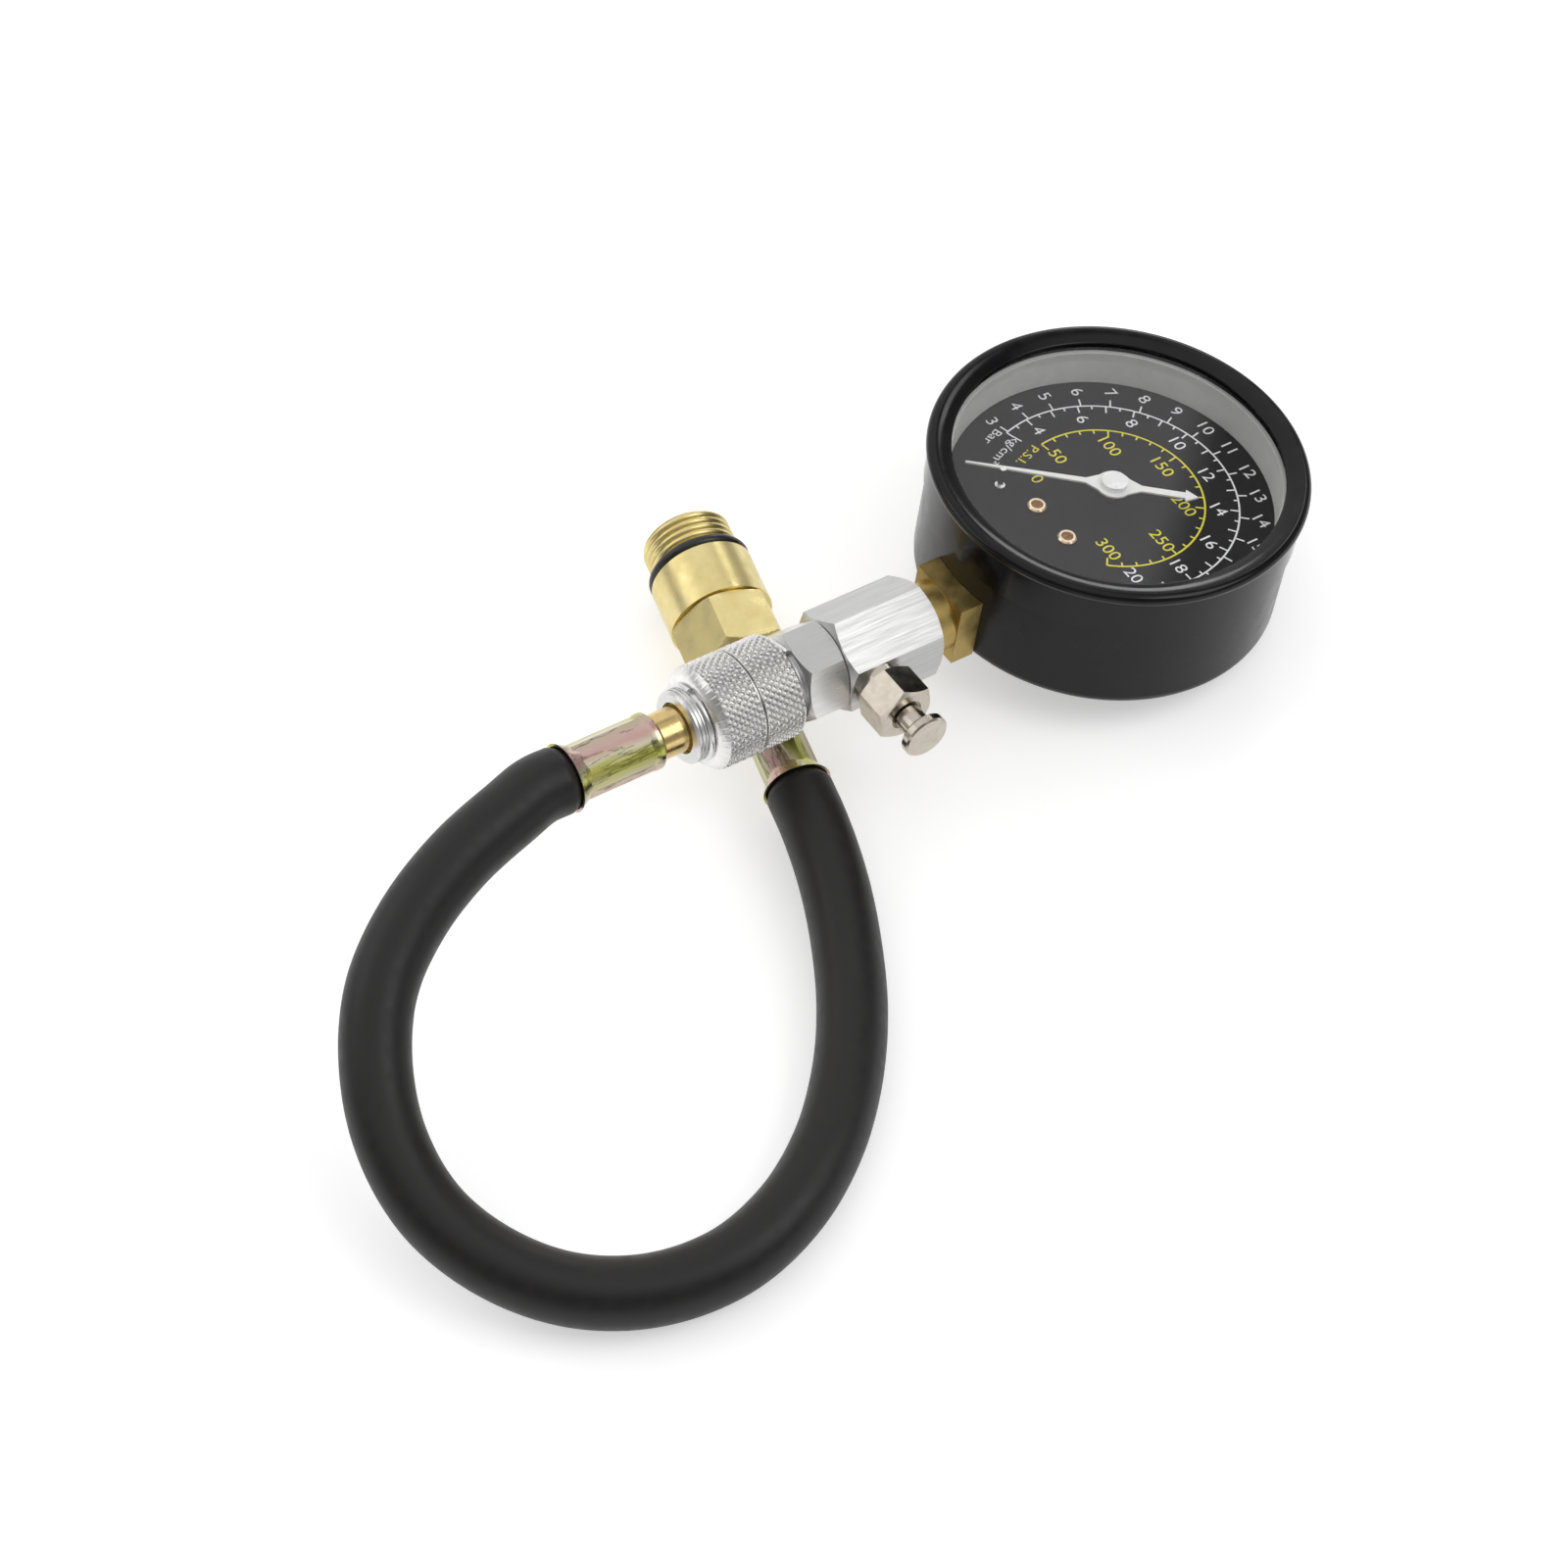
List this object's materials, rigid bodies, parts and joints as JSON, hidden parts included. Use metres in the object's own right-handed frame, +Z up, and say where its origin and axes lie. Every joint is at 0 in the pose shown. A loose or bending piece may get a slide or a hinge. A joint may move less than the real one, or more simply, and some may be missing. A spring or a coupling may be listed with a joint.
{
  "type": "compression tester gauge",
  "caption": "Dial pressure gauge with a relief button and a quick coupler that holds a short rubber hose, which ends in a threaded brass spark plug adapter.",
  "frame": {"origin": "on the table, under the middle of the gauge and its fittings, the hose line left out", "axes": "+X along the stem towards the gauge, +Z up, and the adapter lies towards +Y"},
  "size_m": [0.2313, 0.1439, 0.0419],
  "materials": {
    "case_enamel": "satin black enamel",
    "bezel_enamel": "satin black enamel, worn bright at the rim",
    "window_glass": "clear",
    "gasket_rubber": "matte",
    "spacer_grey": "matte light grey",
    "dial_charcoal": "matte charcoal with a printed scale",
    "needle_white": "matte white",
    "bright_steel": "turned and bright",
    "dark_steel": "black oxide",
    "movement_brass": "satin",
    "aged_brass": "darkened",
    "bright_brass": "turned and bright",
    "adapter_brass": "pale satin",
    "valve_aluminium": "brushed",
    "coupler_aluminium": "brushed",
    "sleeve_aluminium": "diamond knurl",
    "nickel_plate": "warm nickel plate",
    "yellow_zinc": "yellow zinc plate with a colour play",
    "seal_rubber": "smooth black",
    "hose_rubber": "matte black with a soft sheen"
  },
  "bodies": {
    "gauge": {"case": "case_enamel", "bezel": "bezel_enamel", "lens": "window_glass", "lens_gasket": "gasket_rubber", "spacer_ring": "spacer_grey", "dial": "dial_charcoal", "dial_screws": "movement_brass", "stop_pin": "bright_steel", "hairspring": "bright_steel", "bourdon_tube": "movement_brass", "lower_plate": "movement_brass", "upper_plate": "movement_brass", "plate_pillars": "bright_steel", "movement_screws": "bright_steel", "gauge_socket": "aged_brass", "case_screws": "bright_steel", "valve_body": "valve_aluminium", "relief_housing": "nickel_plate", "relief_spring": "bright_steel", "coupler_body": "coupler_aluminium", "coupler_spring": "bright_steel", "locking_balls": "bright_steel", "snap_ring": "dark_steel", "coupler_seal": "seal_rubber"},
    "needle": {"needle": "needle_white", "needle_hub": "bright_steel", "pinion_arbor": "movement_brass"},
    "sector": {"sector_gear": "movement_brass", "sector_arbor": "bright_steel"},
    "tube_end": {"tube_tip": "movement_brass"},
    "link": {"link": "movement_brass"},
    "relief_button": {"relief_button": "nickel_plate", "relief_seal": "seal_rubber"},
    "coupler_sleeve": {"coupler_sleeve": "sleeve_aluminium"},
    "hose_line": {"hose_plug": "bright_brass", "ferrule_plug_end": "yellow_zinc", "hose": "hose_rubber", "ferrule_adapter_end": "yellow_zinc", "adapter": "adapter_brass", "adapter_seal": "seal_rubber", "check_valve_body": "bright_brass", "check_valve_spring": "bright_steel"},
    "check_valve_pin": {"check_valve_pin": "bright_steel", "check_valve_seal": "seal_rubber"}
  },
  "joints": [
    {"name": "needle_turn", "type": "hinge", "parent": "gauge", "child": "needle", "pos_m": [0.03136, 0, 0.02524], "axis": [-0.165, 0, -0.9863], "range_deg": [0, 270], "stiffness_Nm_per_rad": 0.0004, "deforming": ["hairspring"]},
    {"name": "sector_turn", "type": "hinge", "parent": "gauge", "child": "sector", "pos_m": [0.01731, -0.00704, 0.02151], "axis": [0.165, 0, 0.9863], "range_deg": [0, 39]},
    {"name": "tube_uncurl", "type": "hinge", "parent": "gauge", "child": "tube_end", "pos_m": [0.03513, 0.003, 0.01143], "axis": [0.165, 0, 0.9863], "range_deg": [0, 7.2], "deforming": ["bourdon_tube"]},
    {"name": "link_swing", "type": "hinge", "parent": "tube_end", "child": "link", "pos_m": [0.01896, -0.02207, 0.02225], "axis": [0.165, 0, 0.9863], "range_deg": [0, 0.5]},
    {"name": "relief_press", "type": "slide", "parent": "gauge", "child": "relief_button", "axis": [0, 1, 0], "range_m": [0, 0.0024], "stiffness_N_per_m": 900, "springref_m": -0.004, "deforming": ["relief_spring"]},
    {"name": "sleeve_pull", "type": "slide", "parent": "gauge", "child": "coupler_sleeve", "axis": [0.9863, 0, -0.165], "range_m": [0, 0.0018], "stiffness_N_per_m": 1800, "springref_m": -0.004, "deforming": ["coupler_spring"]},
    {"name": "hose_swivel", "type": "hinge", "parent": "gauge", "child": "hose_line", "pos_m": [-0.05939, 0, 0.02826], "axis": [-0.9863, 0, 0.165], "range_deg": [-100, 100]},
    {"name": "check_valve_press", "type": "slide", "parent": "hose_line", "child": "check_valve_pin", "axis": [-0.2418, -0.9697, -0.0349], "range_m": [0, 0.0012], "stiffness_N_per_m": 400, "springref_m": -0.002, "deforming": ["check_valve_spring"]}
  ],
  "couplings": [
    {"joint": "sector_turn", "follows": "needle_turn", "ratio": 0.13636},
    {"joint": "tube_uncurl", "follows": "needle_turn", "ratio": 0.025293},
    {"joint": "link_swing", "follows": "needle_turn", "ratio": 0.0016778}
  ]
}
